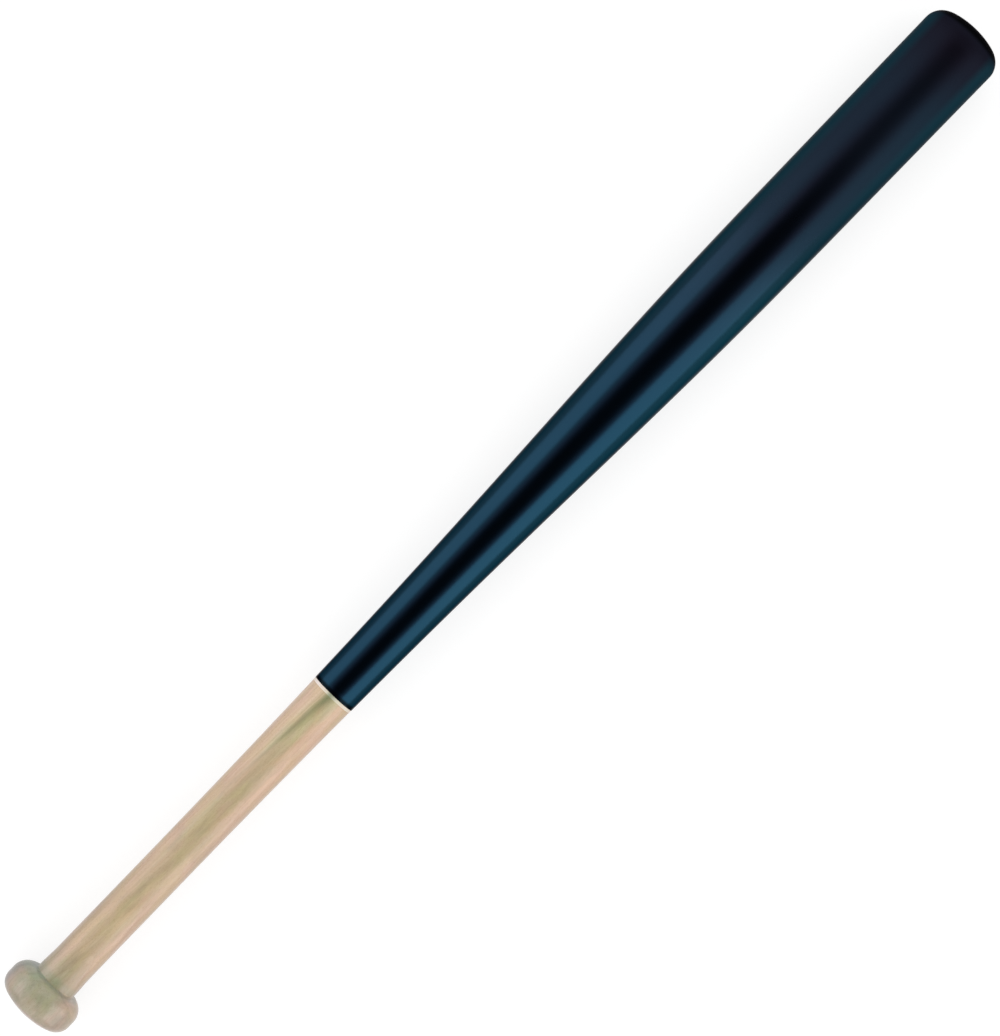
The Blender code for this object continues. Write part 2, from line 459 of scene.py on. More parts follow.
print("finishes read the place in metres from the butt and the axis")

# %% [markdown]
# The wood is a pale, even hardwood such as beech. Its growth rings are cylinders round a pith that lies
# outside the bat, because the blank was sawn from one side of the log. The grain also runs out: the pith is
# not quite parallel to the axis, so the rings' edges cross the handle at a slant and meet in long arches.
# Both are made as on the real thing, with a distance from a tilted pith.
#
# In each ring the wood darkens slowly and then starts again pale. Rays are thin ribbons that stand along the
# radius. Drawn as stretched cells they give short dashes where the surface cuts them across, and wide flecks
# where it runs along them, as in real beech. Fibres are noise, drawn out thirty times as long as wide.

# %% Draw the grain
CROWN_TILT = math.radians(25.0)
PITH_DEPTH = 75.0 * MM
RUN_OUT = 0.056
RING_WIDTH = 2.3 * MM
RING_WANDER = 2.0 * MM
WANDER_WAVES = (9.0, 35.0)
LATE_WOOD = (0.30, 0.92)
RING_START = (1.0, 0.95)
FAINTEST_RING = 0.25
RAY_LENGTH = 2.2 * MM
RAY_DEPTH = 6.0 * MM
RAY_WIDTH = 0.35 * MM
RAY_EDGE = (0.34, 0.16)


def grain(board, place):
    """The distance from the pith, the distance round it, and the distance beside the rings' crown."""
    height, side, up = place
    towards_bark = up * math.cos(CROWN_TILT) - side * math.sin(CROWN_TILT)
    beside_crown = side * math.cos(CROWN_TILT) + up * math.sin(CROWN_TILT)
    from_pith = towards_bark + PITH_DEPTH - (height - sizes["Lacquer Edge Height"]) * RUN_OUT
    distance = board.maths("SQRT", from_pith * from_pith + beside_crown * beside_crown)
    round_pith = board.maths("ARCTAN2", beside_crown, from_pith) * PITH_DEPTH
    wander = cloud(board, place, WANDER_WAVES, detail=1.0)
    return distance + (wander - 0.5) * RING_WANDER, round_pith, beside_crown


def late_wood(board, distance):
    """How far into its dark late wood a growth ring is, with rings of unlike strength."""
    count = distance / RING_WIDTH
    ring = board.maths("FLOOR", count)
    share = count - ring
    noise = board.add("ShaderNodeTexWhiteNoise", {"noise_dimensions": "1D"}, {"W": ring}, output="Value")
    strength = noise * (1.0 - FAINTEST_RING) + FAINTEST_RING
    return board.step(share, *LATE_WOOD) * board.step(share, *RING_START) * strength


def rays(board, in_log):
    """Short flecks where a ray comes to the surface."""
    height, distance, round_pith = in_log
    cells = board.point(height / RAY_LENGTH, distance / RAY_DEPTH, round_pith / RAY_WIDTH)
    nearest = board.add("ShaderNodeTexVoronoi", (), {"Vector": cells, "Scale": 1.0}, output="Distance")
    return board.step(nearest, *RAY_EDGE)


print(f"rings every {RING_WIDTH / MM:.1f} mm round a pith {PITH_DEPTH / MM:.0f} mm below the axis")

# %% [markdown]
# The wood's colours also depend on where a point lies on the bat, and two more wires say that. `leftwards`
# goes from -1 on the right flank to 1 on the left one, as the picture shows them, and `towards_top` is 1
# along the top. They are a sine and a cosine of the angle round the axis, so neither has a seam. Near the
# butt's middle they would change like slices of a pie, so they fade out on its face.
#
# A tan band runs along the top, against pinker flanks. It is painted light and shade: the flanks pinker and
# the top yellower, for how the light from the sides falls on the round handle. Soft noise moves its edges,
# so that it doesn't look drawn. Everything that the colours depend on travels together from here on, in one
# object called `at`.

# %% Find the top, the flanks and the knob
NECK = sizes["Neck Height"]
NECK_SOFTNESS = 1.0 * MM
BUTT_FADE = (1.0 * MM, 6.0 * MM)
BAND_EDGE = (0.79, 1.03)
SOFTER_ON_KNOB = 0.12
PATCH_WAVES = (30.0, 130.0)
PATCH_SHIFT = 0.30
MOTTLE_WAVES = (45.0, 170.0)
MOTTLE_SHIFT = 0.12
FIBRE_WAVES = (60.0, 2000.0)
BARE_SOFTNESS = 0.15 * MM


def wood_places(board):
    """Everything that the colours of the wood depend on, each under its name."""
    place = place_on_bat(board)
    height, side, up = place
    distance, round_pith, beside_crown = grain(board, place)
    in_log = (height, distance, round_pith)
    patch = cloud(board, place, PATCH_WAVES)
    mottle = cloud(board, place, MOTTLE_WAVES, detail=3.0)
    on_knob = board.step(height, NECK + NECK_SOFTNESS, NECK - NECK_SOFTNESS)
    reach = from_axis(board, place)
    off_butt = board.step(height, *BUTT_FADE)
    shifted = (patch - 0.5) * PATCH_SHIFT + (mottle - 0.5) * MOTTLE_SHIFT
    towards_top = up / reach * off_butt + shifted
    band_from, band_to = BAND_EDGE
    softer = on_knob * SOFTER_ON_KNOB
    varnish_stop = sizes["Varnish Stop Height"]
    return SimpleNamespace(
        place=place,
        height=height,
        side=side,
        leftwards=side / reach * off_butt,
        on_knob=on_knob,
        on_top=board.step(towards_top, band_from - softer, band_to + softer),
        bare=board.step(height, varnish_stop - BARE_SOFTNESS, varnish_stop + BARE_SOFTNESS),
        in_log=in_log,
        distance=distance,
        beside_crown=beside_crown,
        late=late_wood(board, distance),
        fleck=rays(board, in_log),
        fibre=cloud(board, in_log, FIBRE_WAVES),
        patch=patch,
        mottle=mottle,
    )


print("the knob ends", round(NECK / MM, 1), "mm above the butt")

# %% [markdown]
# Each change of colour is one tint, multiplied in where it belongs. Pinkish flanks and a yellower band along
# the top come first, and the band is lighter still next to the lacquer. Flanks and band are painted light and
# shade, for how the light from the sides falls on the round handle. Then comes the wood as it grew: late
# wood, fibres, bundles of fibres and rays darken it, and two noises keep it from being even.
#
# A pair of numbers named after an edge, a side or heights says where a change starts and where it is
# complete. Where two more numbers follow, they are its strengths before and after.
#
# The varnish stops just short of the lacquer, where the masking tape lay, and leaves a line of bare, paler
# wood.

# %% Colour the grain
# The first two colours are painted light and shade: the flanks pinker and the top yellower under side light.
PINK_FLANKS = (0.605, 0.399, 0.251, 1.0)
TAN_TOP = (0.570, 0.450, 0.280, 1.0)
BARE_WOOD = (0.80, 0.71, 0.60, 1.0)
BARE_SHARE = 0.9
TOP_NEAR_LACQUER_TINT = (1.07, 1.15, 1.12, 1.0)
TOP_NEAR_LACQUER_HEIGHTS = (190.0 * MM, 235.0 * MM)
LATE_TINT = (0.86, 0.81, 0.75, 1.0)
LATE_ON_HANDLE = 0.55
LATE_ON_KNOB = 0.20
FIBRE_TINT = (0.86, 0.83, 0.80, 1.0)
FIBRE_EDGE = (0.25, 0.75)
FIBRE_SHARE = 0.6
BUNDLE_TINT = (0.90, 0.89, 0.87, 1.0)
BUNDLE_WAVES = (14.0, 380.0)
BUNDLE_EDGE = (0.32, 0.70)
RAY_TINT = (0.80, 0.72, 0.66, 1.0)
RAY_SHARE = 0.7
MOTTLE_TINT = (0.90, 0.90, 0.91, 1.0)
MOTTLE_EDGE = (0.45, 0.70)
YELLOW_TINT = (0.97, 1.02, 0.90, 1.0)
YELLOW_WAVES = (38.0, 110.0)
YELLOW_SHIFT = (5.0, 0.0, 0.0)
YELLOW_EDGE = (0.42, 0.62)


def grain_colour_and_top_light(board, at):
    """The wood as it grew, over painted light on its flanks and top, and the line that the varnish leaves
    bare.
    """
    bundle = cloud(board, at.in_log, BUNDLE_WAVES, detail=3.0)
    yellow = cloud(board, at.place, YELLOW_WAVES, shift=YELLOW_SHIFT)
    late_share = LATE_ON_HANDLE - at.on_knob * (LATE_ON_HANDLE - LATE_ON_KNOB)
    # painted light and shade: pinker flanks, a yellower band along the top
    colour = board.blend(at.on_top, PINK_FLANKS, TAN_TOP)
    colour = board.tint(colour, board.step(at.height, *TOP_NEAR_LACQUER_HEIGHTS) * at.on_top, TOP_NEAR_LACQUER_TINT)
    colour = board.tint(colour, at.late * late_share, LATE_TINT)
    colour = board.tint(colour, board.step(at.fibre, *FIBRE_EDGE) * FIBRE_SHARE, FIBRE_TINT)
    colour = board.tint(colour, board.step(bundle, *BUNDLE_EDGE), BUNDLE_TINT)
    colour = board.tint(colour, at.fleck * RAY_SHARE, RAY_TINT)
    colour = board.tint(colour, board.step(at.mottle, *MOTTLE_EDGE), MOTTLE_TINT)
    colour = board.tint(colour, board.step(yellow, *YELLOW_EDGE), YELLOW_TINT)
    return board.blend(at.bare * BARE_SHARE, colour, BARE_WOOD)


print("the wood goes from", PINK_FLANKS[:3], "to", TAN_TOP[:3], "in linear light")

# %% [markdown]
# One dark streak follows a growth ring from the lacquer's edge down the handle, with an olive tinge beside
# it. Both are painted shade, for the shade along the middle of the top between the two side lights. The
# streak lies on one side of the rings' crown only.

# %% Paint the shade along the top
STREAK_TINT = (0.44, 0.51, 0.43, 1.0)
STREAK_DISTANCE = PITH_DEPTH + 14.0 * MM
STREAK_WIDTH = 1.6 * MM
STREAK_LENGTH = 110.0 * MM
STREAK_FULL_LENGTH = 10.0 * MM
STREAK_SHARE = 0.7
STREAK_DARKEST_LENGTH = 18.0 * MM
CROWN_SOFTNESS = 4.0 * MM
OLIVE_TINT = (0.90, 0.97, 0.90, 1.0)
OLIVE_WIDTH = 4.2 * MM
OLIVE_LENGTH = 45.0 * MM
OLIVE_PATCHES = (0.35, 0.55, 0.4, 1.0)


def shaded_along_top(board, at, colour):
    """The colour with the painted shade along the top: the dark streak and its olive tinge."""
    from_streak = board.maths("ABSOLUTE", at.distance - STREAK_DISTANCE)
    below_edge = sizes["Lacquer Edge Height"] - at.height
    far = board.step(below_edge, STREAK_LENGTH, STREAK_FULL_LENGTH, 0.0, STREAK_SHARE)
    near = board.step(below_edge, STREAK_DARKEST_LENGTH, 0.0, 0.0, 1.0 - STREAK_SHARE)
    one_side = board.step(at.beside_crown, 0.0, CROWN_SOFTNESS)
    # painted shade: the dark streak along the middle of the top, between the side lights
    streak = board.step(from_streak, STREAK_WIDTH, 0.0) * one_side * (far + near)
    colour = board.tint(colour, streak, STREAK_TINT)
    olive = board.step(from_streak, OLIVE_WIDTH, 0.0) * board.step(below_edge, OLIVE_LENGTH, 0.0)
    return board.tint(colour, olive * board.step(at.patch, *OLIVE_PATCHES), OLIVE_TINT)


print("the streak runs", round(STREAK_LENGTH / MM), "mm down from the lacquer")

# %% [markdown]
# Hands have changed the handle. Low on its left they have left it greyer. The rest of its flanks is a little
# paler, which is painted light, the glancing light on the handle's sides. A line along the left is browner.
# On the right, a patch beside the band is worn pale, five to nine centimetres from the knob, and next to the
# knob the wood is more peach. Hands don't reach the last stretch before the lacquer, which is cleaner.
#
# A patch has a start, a stop and a softness, once in height and once from side to side.

# %% Wear the handle and paint light on its flanks
GRIP_TINT = (0.86, 0.89, 0.95, 1.0)
GRIP_HEIGHTS = (NECK + 110.0 * MM, NECK + 45.0 * MM)
GRIP_SIDE = (0.55, 0.90)
LEFT_HALF = (-0.3, 0.3)
FLANK_LIGHT_TINT = (1.09, 1.11, 1.20, 1.0)
FLANK_SIDE = (0.54, 0.76)
FLANK_OUTER_SIDE = (1.0, 0.80, 0.4, 1.0)
CLEAN_LEFT_TINT = (1.08, 1.08, 1.11, 1.0)
CLEAN_RIGHT_TINT = (1.08, 1.03, 1.01, 1.0)
CLEAN_LEFT_SIDE = (0.0, 0.5)
CLEAN_HEIGHTS = (165.0 * MM, 215.0 * MM)
WORN_TINT = (1.13, 1.08, 1.14, 1.0)
WORN_HEIGHTS = (73.0 * MM, 117.0 * MM, 8.0 * MM)
WORN_SIDES = (-0.34, -0.01, 0.08)
HELD_TINT = (0.92, 0.93, 0.89, 1.0)
HELD_HEIGHTS = (74.0 * MM, 220.0 * MM, 10.0 * MM)
HELD_SIDES = (0.38, 0.67, 0.08)
PEACH_TINT = (0.88, 0.91, 0.84, 1.0)
PEACH_HEIGHTS = (NECK + 3.0 * MM, NECK + 24.0 * MM, 4.0 * MM)
PEACH_SIDES = (-0.68, -0.28, 0.08)


def patched(board, at, colour, heights, sides, tint):
    """The colour with one patch of the handle tinted."""
    inside = board.band(at.height, *heights) * board.band(at.leftwards, *sides)
    return board.tint(colour, inside, tint)


def handled_with_flank_light(board, at, colour):
    """The colour with what hands have done to the handle, and with painted light on its flanks."""
    gripped = board.step(at.height, *GRIP_HEIGHTS)
    colour = board.tint(colour, gripped * board.step(at.leftwards, *GRIP_SIDE), GRIP_TINT)
    # painted light: the flanks paler under the glancing light, except low on the left where hands greyed it
    outwards = board.maths("ABSOLUTE", at.leftwards)
    flank = board.step(outwards, *FLANK_SIDE) * board.step(outwards, *FLANK_OUTER_SIDE)
    paler = flank * (1.0 - gripped * board.step(at.leftwards, *LEFT_HALF)) * (1.0 - at.on_knob)
    colour = board.tint(colour, paler, FLANK_LIGHT_TINT)
    clean = board.step(at.height, *CLEAN_HEIGHTS) * (1.0 - at.on_top)
    on_left = board.step(at.leftwards, *CLEAN_LEFT_SIDE)
    clean_tint = board.blend(on_left, CLEAN_RIGHT_TINT, CLEAN_LEFT_TINT)
    colour = board.tint(colour, clean, clean_tint)
    colour = patched(board, at, colour, WORN_HEIGHTS, WORN_SIDES, WORN_TINT)
    colour = patched(board, at, colour, HELD_HEIGHTS, HELD_SIDES, HELD_TINT)
    return patched(board, at, colour, PEACH_HEIGHTS, PEACH_SIDES, PEACH_TINT)


print("the handle gets cleaner from", round(CLEAN_HEIGHTS[0] / MM), "mm above the butt")

# %% [markdown]
# The knob is greyer and greener than the handle, because its cut fibres have soaked up more varnish and
# dirt, and the handle takes a little of that on next to it. Its left half is darker than its right, which is
# painted shade. The knob is pinker on its left side, a painted highlight, and pinker towards the butt, paler
# on its right shoulder, greener on its left one, and softly stained all over. Its left rim is dark, which is
# painted shade, and so is the crease, with painted shade in the hollow and varnish that gathers there.

# %% Age and shade the knob
KNOB_LEFT_TINT = (0.64, 0.80, 0.93, 1.0)
KNOB_RIGHT_TINT = (0.78, 0.86, 1.00, 1.0)
KNOB_TOP_TINT = (0.70, 0.89, 0.93, 1.0)
KNOB_HALVES = (12.0 * MM, -12.0 * MM)
NEXT_TO_KNOB = (NECK + 32.0 * MM, NECK + 2.0 * MM)
NEXT_TO_KNOB_SHARE = 0.6
KNOB_PALE_TINT = (1.18, 1.10, 1.10, 1.0)
KNOB_PALE_SIDE = (0.58, 0.74)
KNOB_RIM_TINT = (0.62, 0.66, 0.70, 1.0)
KNOB_RIM_SIDE = (0.84, 0.94)
KNOB_BUTT_TINT = (1.14, 1.06, 1.13, 1.0)
KNOB_BUTT_HEIGHTS = (17.0 * MM, 12.0 * MM)
KNOB_BUTT_SIDE = (-0.65, -0.35)
RIGHT_SHOULDER_TINT = (1.18, 1.15, 1.16, 1.0)
RIGHT_SHOULDER_HEIGHTS = (16.0 * MM, 20.0 * MM)
RIGHT_SHOULDER_SIDE = (-0.40, -0.75)
LEFT_SHOULDER_TINT = (0.87, 1.10, 1.02, 1.0)
LEFT_SHOULDER_HEIGHTS = (20.0 * MM, 24.0 * MM)
LEFT_SHOULDER_SIDE = (0.25, 0.50)
KNOB_STAIN_TINT = (0.86, 0.91, 0.87, 1.0)
KNOB_STAIN_WAVES = (70.0, 90.0)
KNOB_STAIN_SHIFT = (0.0, 0.0, 3.0)
KNOB_STAIN_EDGE = (0.46, 0.62)
CREASE_TINT = (0.74, 0.80, 0.80, 1.0)
CREASE_EDGE = (1.2 * MM, 0.1 * MM)
NECK_TINT = (0.86, 0.98, 0.98, 1.0)
NECK_HEIGHTS = (NECK + 7.0 * MM, NECK + 3.0 * MM)


def aged_and_shaded_knob(board, at, colour):
    """The colour with the knob's age, its painted highlight and shade, and the crease's painted shade and
    varnish.
    """
    next_to_knob = board.step(at.height, *NEXT_TO_KNOB) * NEXT_TO_KNOB_SHARE
    # painted shade: the knob's left half tinted darker than its right
    right_half = board.step(at.side, *KNOB_HALVES)
    knob_tint = board.blend(right_half, KNOB_LEFT_TINT, KNOB_RIGHT_TINT)
    knob_tint = board.blend(at.on_top, knob_tint, KNOB_TOP_TINT)
    colour = board.tint(colour, board.maths("MAXIMUM", at.on_knob, next_to_knob), knob_tint)
    # painted highlight: a pale pink patch on the knob's left side
    pale_side = board.step(at.leftwards, *KNOB_PALE_SIDE) * at.on_knob
    colour = board.tint(colour, pale_side, KNOB_PALE_TINT)
    # painted shade: a dark rim along the knob's left side
    rim = board.step(at.leftwards, *KNOB_RIM_SIDE) * at.on_knob
    colour = board.tint(colour, rim, KNOB_RIM_TINT)
    near_butt = board.step(at.height, *KNOB_BUTT_HEIGHTS) * board.step(at.leftwards, *KNOB_BUTT_SIDE)
    colour = board.tint(colour, near_butt, KNOB_BUTT_TINT)
    right_shoulder = board.step(at.height, *RIGHT_SHOULDER_HEIGHTS) * at.on_knob
    right_shoulder = right_shoulder * board.step(at.leftwards, *RIGHT_SHOULDER_SIDE)
    colour = board.tint(colour, right_shoulder, RIGHT_SHOULDER_TINT)
    left_shoulder = board.step(at.height, *LEFT_SHOULDER_HEIGHTS) * at.on_knob
    left_shoulder = left_shoulder * board.step(at.leftwards, *LEFT_SHOULDER_SIDE)
    colour = board.tint(colour, left_shoulder, LEFT_SHOULDER_TINT)
    stain = cloud(board, at.place, KNOB_STAIN_WAVES, detail=3.0, shift=KNOB_STAIN_SHIFT)
    colour = board.tint(colour, board.step(stain, *KNOB_STAIN_EDGE) * at.on_knob, KNOB_STAIN_TINT)
    # painted shade in the crease, together with the varnish that gathers there
    from_crease = board.maths("ABSOLUTE", at.height - (NECK - sizes["Crease Radius"]))
    colour = board.tint(colour, board.step(from_crease, *CREASE_EDGE), CREASE_TINT)
    above_crease = board.step(at.height, *NECK_HEIGHTS) * (1.0 - at.on_knob)
    return board.tint(colour, above_crease, NECK_TINT)


print("the knob's age shows up to", round((NEXT_TO_KNOB[0] - NECK) / MM), "mm above it")

# %% [markdown]
# The varnish is a coat on the wood's own shader, because it follows the wood exactly and is too thin to see
# from its edge. A little sheen stands for the fine dust and wear that make an old varnish look pale at its
# sides. Fibres, rays and the scratches of sanding are raised by hundredths of a millimetre.

# %% Varnish the wood
GRAIN_RELIEF = 0.02 * MM
SANDING_WAVES = (2600.0, 60.0)


def varnished_wood():
    """The wood's material: its colours, with the clear varnish over them."""
    material, board = new_finish("varnished_beech")
    at = wood_places(board)
    colour = grain_colour_and_top_light(board, at)
    colour = shaded_along_top(board, at, colour)
    colour = handled_with_flank_light(board, at, colour)
    colour = aged_and_shaded_knob(board, at, colour)
    sanding = cloud(board, at.place, SANDING_WAVES)
    raised = {
        "Height": at.fibre * 0.6 + at.fleck * 0.5 + sanding * 0.4,
        "Distance": GRAIN_RELIEF,
        "Strength": 0.6,
    }
    finish = {
        "Base Color": colour,
        "Roughness": 0.46 + at.late * 0.05 + at.bare * 0.2 + at.on_knob * 0.1,
        "Specular IOR Level": 0.35,
        "Coat Weight": (1.0 - at.bare) * 0.70,
        "Coat Roughness": 0.24,
        "Coat IOR": 1.50,
        "Sheen Weight": 0.24,
        "Sheen Roughness": 0.50,
        "Normal": board.add("ShaderNodeBump", (), raised),
    }
    shader = board.add("ShaderNodeBsdfPrincipled", (), finish)
    board.add("ShaderNodeOutputMaterial", (), {"Surface": shader})
    return material


wood_finish = varnished_wood()
print(wood_finish.name, "has", len(wood_finish.node_tree.nodes), "nodes")

# %% [markdown]
# The lacquer looks black where it mirrors something dark, and deep blue where it mirrors a light. A clear
# gloss over black would mirror the lights in white, so this one is made as a dark blue metallic finish with
# a soft gloss: its reflections take the colour. The tint of its edge is kept low, because the real one gets
# darker towards its rims.
#
# Its colour changes along it and round it. The flanks are more teal than the top, and the right half more
# than the left, which is painted reflection of the lights at the sides, the right one brighter. Towards the
# end of the barrel the blue turns to charcoal and the sheen is duller, and the rounded corner of the end is
# nearly black, which is painted shade. Against the masking tape the film has built up a narrow, darker ridge.

# %% Make the lacquer
TAPER_NAVY = (0.0072, 0.0235, 0.0400, 1.0)
BARREL_NAVY = (0.0108, 0.0178, 0.0300, 1.0)
BARREL_HEIGHTS = (500.0 * MM, 740.0 * MM)
END_CHARCOAL = (0.0108, 0.0112, 0.0195, 1.0)
END_HEIGHTS = (770.0 * MM, 830.0 * MM)
TEAL_TINT = (0.96, 1.20, 1.16, 1.0)
TEAL_LOST_AT_END = 0.8
RIGHT_HALF = (20.0 * MM, -20.0 * MM)
FLANK_TEAL = (0.0095, 0.0370, 0.0530, 1.0)
RIGHT_TEAL = (0.0095, 0.0520, 0.0740, 1.0)
RIGHT_TEAL_HEIGHTS = (680.0 * MM, 600.0 * MM)
TEAL_SIDE = (0.64, 0.90)
TEAL_LEAN = 0.03
TEAL_HEIGHTS = (300.0 * MM, 700.0 * MM)
TEAL_SHARES = (0.2, 0.88)
TEAL_FROM_END = (4.0 * MM, 14.0 * MM)
DRIFT_TINT = (0.92, 0.90, 0.93, 1.0)
DRIFT_WAVES = (6.0, 22.0)
DRIFT_EDGE = (0.3, 0.7)
EDGE_TINT = (0.38, 0.23, 0.19, 1.0)
EDGE_RIDGE = (3.6 * MM, 1.4 * MM)
TIP_TINT = (0.32, 0.34, 0.24, 1.0)
TIP_FROM_END = (9.8 * MM, 6.4 * MM)
TIP_FROM_AXIS = (15.0 * MM, 21.0 * MM)
TIP_SHARES = (0.35, 1.0)
RIM_TINT = (0.46, 0.45, 0.45, 1.0)
DULL_HEIGHTS = (640.0 * MM, 760.0 * MM)
ROUND_FROM_END = (22.0 * MM, 13.0 * MM)
HAZE_WAVES = (25.0, 120.0)
PEEL_WAVES = (700.0, 700.0)
PEEL_RELIEF = 0.012 * MM


def lacquer_places(board):
    """Everything that the looks of the lacquer depend on, each under its name."""
    place = place_on_bat(board)
    height, side, _ = place
    near_end = board.step(height, *END_HEIGHTS)
    return SimpleNamespace(
        place=place,
        height=height,
        side=side,
        reach=from_axis(board, place),
        from_end=sizes["Length"] - height,
        near_end=near_end,
        right_half=board.step(side, *RIGHT_HALF) * (1.0 - near_end * TEAL_LOST_AT_END),
    )


def lacquer_colour(board, at):
    """The colour that the lacquer gives to what it mirrors, with painted reflection on its flanks and right
    half, and painted shade on the end's corner.
    """
    colour = board.blend(board.step(at.height, *BARREL_HEIGHTS), TAPER_NAVY, BARREL_NAVY)
    colour = board.blend(at.near_end, colour, END_CHARCOAL)
    # painted reflection: the right half a lighter teal, as the right light is the brighter
    colour = board.tint(colour, at.right_half, TEAL_TINT)
    # painted reflection: teal on the flanks, stronger on the right of the barrel
    outwards = board.maths("ABSOLUTE", at.side) / at.reach - at.side / at.reach * TEAL_LEAN
    teal_share = board.step(at.height, *TEAL_HEIGHTS, *TEAL_SHARES) * board.step(at.from_end, *TEAL_FROM_END)
    right_flank = at.right_half * board.step(at.height, *RIGHT_TEAL_HEIGHTS)
    teal = board.blend(right_flank, FLANK_TEAL, RIGHT_TEAL)
    colour = board.blend(board.step(outwards, *TEAL_SIDE) * teal_share, colour, teal)
    drift = cloud(board, at.place, DRIFT_WAVES)
    colour = board.tint(colour, board.step(drift, *DRIFT_EDGE), DRIFT_TINT)
    from_edge = at.height - sizes["Lacquer Edge Height"]
    colour = board.tint(colour, board.step(from_edge, *EDGE_RIDGE), EDGE_TINT)
    # painted shade: the rounded corner of the barrel's end made nearly black
    tip = board.step(at.from_end, *TIP_FROM_END) * board.step(at.reach, *TIP_FROM_AXIS, *TIP_SHARES)
    return board.tint(colour, tip, TIP_TINT)


def blue_black_lacquer():
    """The lacquer's material: a soft metallic gloss in its own colours."""
    material, board = new_finish("blue_black_lacquer")
    at = lacquer_places(board)
    dull = board.step(at.height, *DULL_HEIGHTS)
    round_end = board.step(at.from_end, *ROUND_FROM_END)
    haze = cloud(board, at.place, HAZE_WAVES, detail=4.0)
    peel = cloud(board, at.place, PEEL_WAVES)
    raised = {"Height": peel, "Distance": PEEL_RELIEF, "Strength": 0.5}
    finish = {
        "Base Color": lacquer_colour(board, at),
        "Metallic": 1.0,
        "Roughness": 0.21 + dull * 0.15 + at.near_end * 0.05 + round_end * 0.15 + haze * 0.06,
        "Specular Tint": RIM_TINT,
        "Normal": board.add("ShaderNodeBump", (), raised),
    }
    shader = board.add("ShaderNodeBsdfPrincipled", (), finish)
    board.add("ShaderNodeOutputMaterial", (), {"Surface": shader})
    return material


lacquer_finish = blue_black_lacquer()
print(lacquer_finish.name, "has", len(lacquer_finish.node_tree.nodes), "nodes")

# %% [markdown]
# Now both pieces are turned. The wood is the whole bat, cut smaller by the film's thickness. The lacquer is
# a skin over the taper and the barrel. A Solidify modifier gives it its real thickness, inwards, and a small
# bevel rounds the edge that it ends in, as wet lacquer rounds itself off.
#
# A solid thing has no open edges. Each finished mesh is tested for that, because a slit is too fine to see.

# %% Turn the wood and the lacquer
CM = 10.0 * MM
FILM_CLEARANCE = 0.02 * MM
FILM_EDGE_WIDTH = 0.03 * MM
FILM_EDGE_ANGLE = math.radians(60.0)


def mesh_facts(piece):
    """What a finished piece is made of, in words."""
    finished = piece.evaluated_get(bpy.context.evaluated_depsgraph_get())
    shape = bmesh.new()
    shape.from_mesh(finished.to_mesh())
    triangles = len(shape.calc_loop_triangles())
    open_edges = sum(not edge.is_manifold for edge in shape.edges)
    volume = shape.calc_volume(signed=True) / CM**3
    shape.free()
    finished.to_mesh_clear()
    return f"{triangles} triangles, {open_edges} open edges, {volume:.1f} cubic centimetres"


wood = turned_piece("varnished_wood", wood_lathe, wood_finish)
lacquer = turned_piece("lacquer_film", film_lathe, lacquer_finish)

thicken = lacquer.modifiers.new("film", "SOLIDIFY")
thicken.thickness = sizes["Film Thickness"] - FILM_CLEARANCE
thicken.offset = -1.0
soften = lacquer.modifiers.new("drawn edge", "BEVEL")
soften.width = FILM_EDGE_WIDTH
soften.segments = 2
soften.limit_method = "ANGLE"
soften.angle_limit = FILM_EDGE_ANGLE

for piece in (wood, lacquer):
    print(f"{piece.name}: {mesh_facts(piece)}")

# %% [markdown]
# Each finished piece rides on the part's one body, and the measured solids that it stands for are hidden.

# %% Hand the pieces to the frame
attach(wood, "root")
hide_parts("turned_wood_body", "knob_varnish_coat", "handle_varnish_coat")
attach(lacquer, "root")
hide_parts("black_lacquer_coat")
print("the frame has its pieces")

# %% [markdown]
# The floor is a pale sheet. It takes the bat's shadow as any matt surface does. What the camera, a mirror or
# glass sees of it gets some light of its own on top, so that it looks white, and that light falls on nothing.

# %% Lay the floor
FLOOR_HALF_WIDTH = 4.0
FLOOR_GAP = 0.2 * MM
FLOOR_GREY = 0.40
FLOOR_GLOW = 0.70


def seen_directly(board):
    """One for what the camera sees, straight or in a gloss or through glass, and nought for soft light."""
    path = board.add("ShaderNodeLightPath")
    return path + path.other("Is Glossy Ray") + path.other("Is Transmission Ray")


def pale_floor():
    """A square sheet just under the bat, with its own material."""
    mesh = bpy.data.meshes.new("floor")
    signs = ((-1, -1), (1, -1), (1, 1), (-1, 1))
    corners = [(x * FLOOR_HALF_WIDTH, y * FLOOR_HALF_WIDTH, -FLOOR_GAP) for x, y in signs]
    mesh.from_pydata(corners, [], [(0, 1, 2, 3)])
    floor = bpy.data.objects.new("floor", mesh)
    bpy.context.scene.collection.objects.link(floor)
    material, board = new_finish("white_paper")
    matt = board.add("ShaderNodeBsdfDiffuse", (), {"Color": (FLOOR_GREY, FLOOR_GREY, FLOOR_GREY, 1.0)})
    glowing = {"Color": (1.0, 1.0, 1.0, 1.0), "Strength": seen_directly(board) * FLOOR_GLOW}
    glow = board.add("ShaderNodeEmission", (), glowing)
    both = board.add("ShaderNodeAddShader", (), {0: matt, 1: glow})
    board.add("ShaderNodeOutputMaterial", (), {"Surface": both})
    mesh.materials.append(material)
    return floor


pale_floor()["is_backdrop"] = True
print("floor", 2 * FLOOR_HALF_WIDTH, "m wide")

